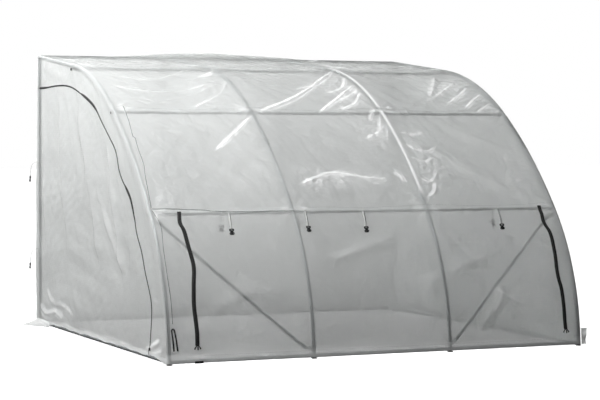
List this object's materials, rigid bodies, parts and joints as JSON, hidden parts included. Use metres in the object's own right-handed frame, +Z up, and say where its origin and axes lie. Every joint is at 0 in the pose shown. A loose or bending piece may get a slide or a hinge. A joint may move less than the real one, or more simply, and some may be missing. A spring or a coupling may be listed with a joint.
{
  "type": "lean-to tunnel greenhouse",
  "caption": "Lean-to tunnel greenhouse: galvanised tube hoops curved from the front feet to an upright back, under a clear reinforced film cover with zips and ties.",
  "frame": {"origin": "middle of the footprint's box, at ground level", "axes": "+X along the house towards the end without a door, +Y from the curved front to the upright back, +Z up"},
  "size_m": [3.245, 2.9338, 2.0558],
  "materials": {
    "galvanised_tube": "dull zinc-galvanised tube",
    "steel_clip": "zinc-plated spring steel",
    "rubber_foot": "matt black rubber",
    "clear_film": "clear polyethylene film with a fine reinforcing net",
    "zip_tape": "black woven tape with a moulded zip",
    "tie_strap": "pale woven strap",
    "black_plastic": "moulded black plastic",
    "black_webbing": "black webbing"
  },
  "bodies": {
    "root": {"hoop_1": "galvanised_tube", "hoop_2": "galvanised_tube", "hoop_3": "galvanised_tube", "hoop_4": "galvanised_tube", "back_post_1": "galvanised_tube", "back_post_2": "galvanised_tube", "back_post_3": "galvanised_tube", "back_post_4": "galvanised_tube", "base_connectors": "galvanised_tube", "top_connectors": "galvanised_tube", "front_base_rail": "galvanised_tube", "back_base_rail": "galvanised_tube", "back_top_rail": "galvanised_tube", "left_base_rail": "galvanised_tube", "right_base_rail": "galvanised_tube", "middle_purlin": "galvanised_tube", "upper_purlin": "galvanised_tube", "top_purlin": "galvanised_tube", "left_brace": "galvanised_tube", "right_brace": "galvanised_tube", "purlin_clips": "steel_clip", "brace_clips": "steel_clip", "foot_pads": "rubber_foot", "roof_film": "clear_film", "upper_front_film": "clear_film", "front_film_left": "clear_film", "roll_up_panel": "clear_film", "front_film_right": "clear_film", "left_end_film": "clear_film", "door_film": "clear_film", "right_end_film": "clear_film", "back_film": "clear_film", "ground_flap": "clear_film", "left_front_zip": "zip_tape", "right_front_zip": "zip_tape", "door_zip": "zip_tape", "front_tie_1": "tie_strap", "front_tie_2": "tie_strap", "front_tie_3": "tie_strap", "front_tie_4": "tie_strap", "inner_tie_1": "tie_strap", "inner_tie_2": "tie_strap", "inner_tie_3": "tie_strap", "door_tie_1": "tie_strap", "door_tie_2": "tie_strap", "front_tie_buckles": "black_plastic", "inner_tie_buckles": "black_plastic", "door_tie_buckles": "black_plastic", "hem_clip": "black_plastic", "corner_strap": "black_webbing"}
  },
  "joints": []
}
